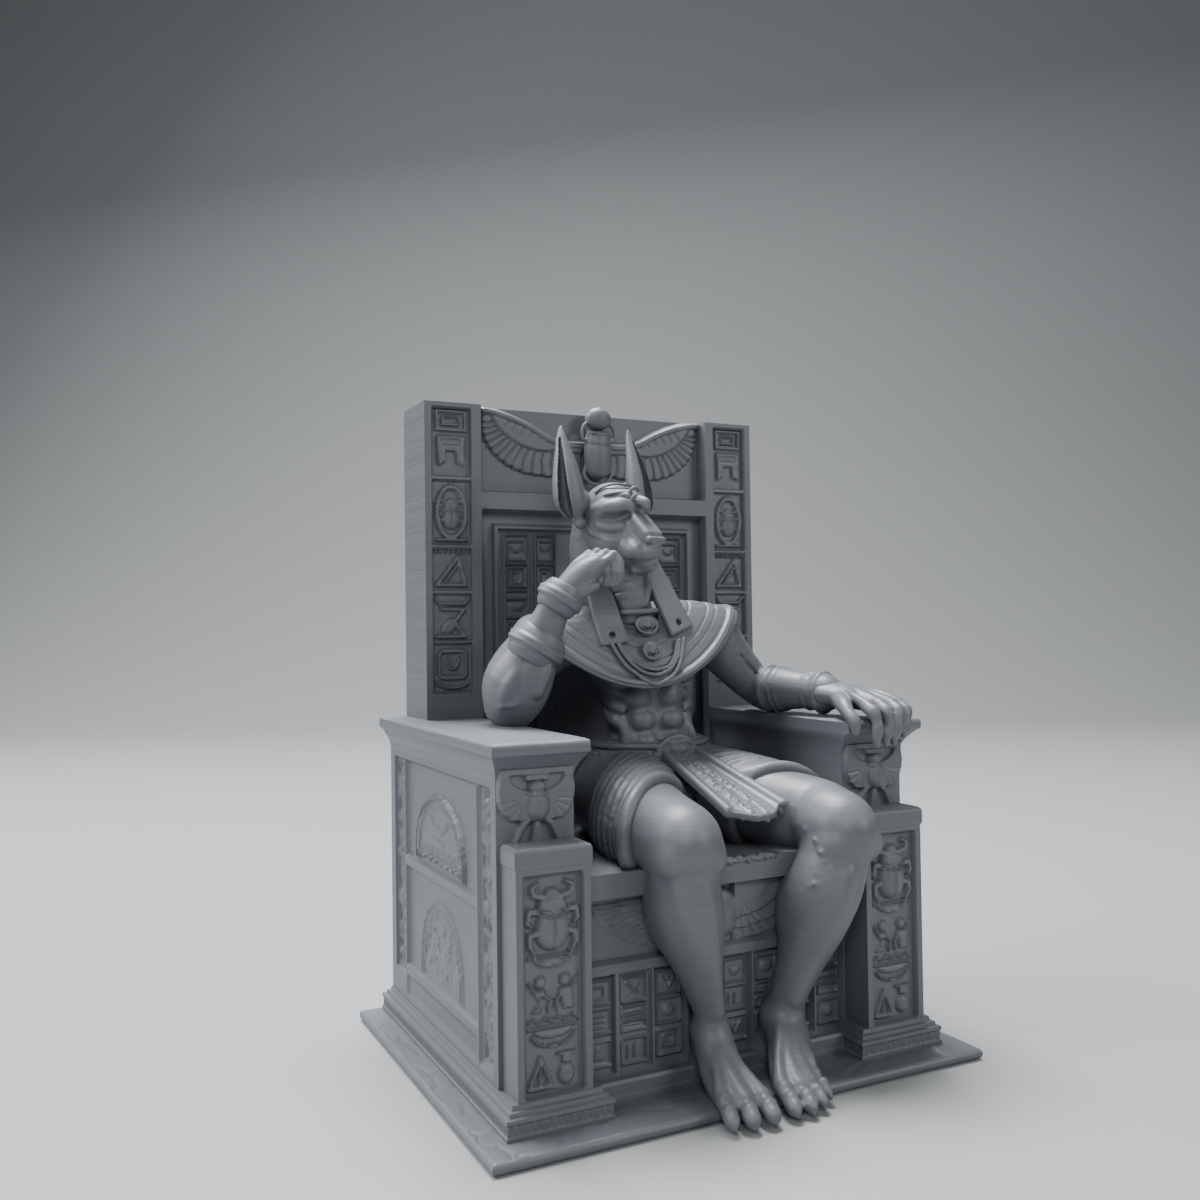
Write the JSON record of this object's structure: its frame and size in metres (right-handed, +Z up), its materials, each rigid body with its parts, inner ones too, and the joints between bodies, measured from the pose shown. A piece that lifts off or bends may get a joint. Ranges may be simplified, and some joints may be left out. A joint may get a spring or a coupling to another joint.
{
  "type": "enthroned jackal-headed figurine",
  "caption": "Desk figurine of a jackal-headed figure in kilt and broad collar, cheek on fist, seated on a carved high-back throne over a thin plinth.",
  "frame": {"origin": "centre of the plinth's rectangular underside", "axes": "+Z up, the figure faces -Y, +X towards the figure's left hand (the viewer's right seen from the front)"},
  "size_m": [0.112, 0.0965, 0.1486],
  "materials": {
    "grey_pla": "mid-grey printed plastic with fine horizontal layer lines"
  },
  "bodies": {
    "root": {"throned_jackal_figurine": "grey_pla"}
  },
  "joints": []
}
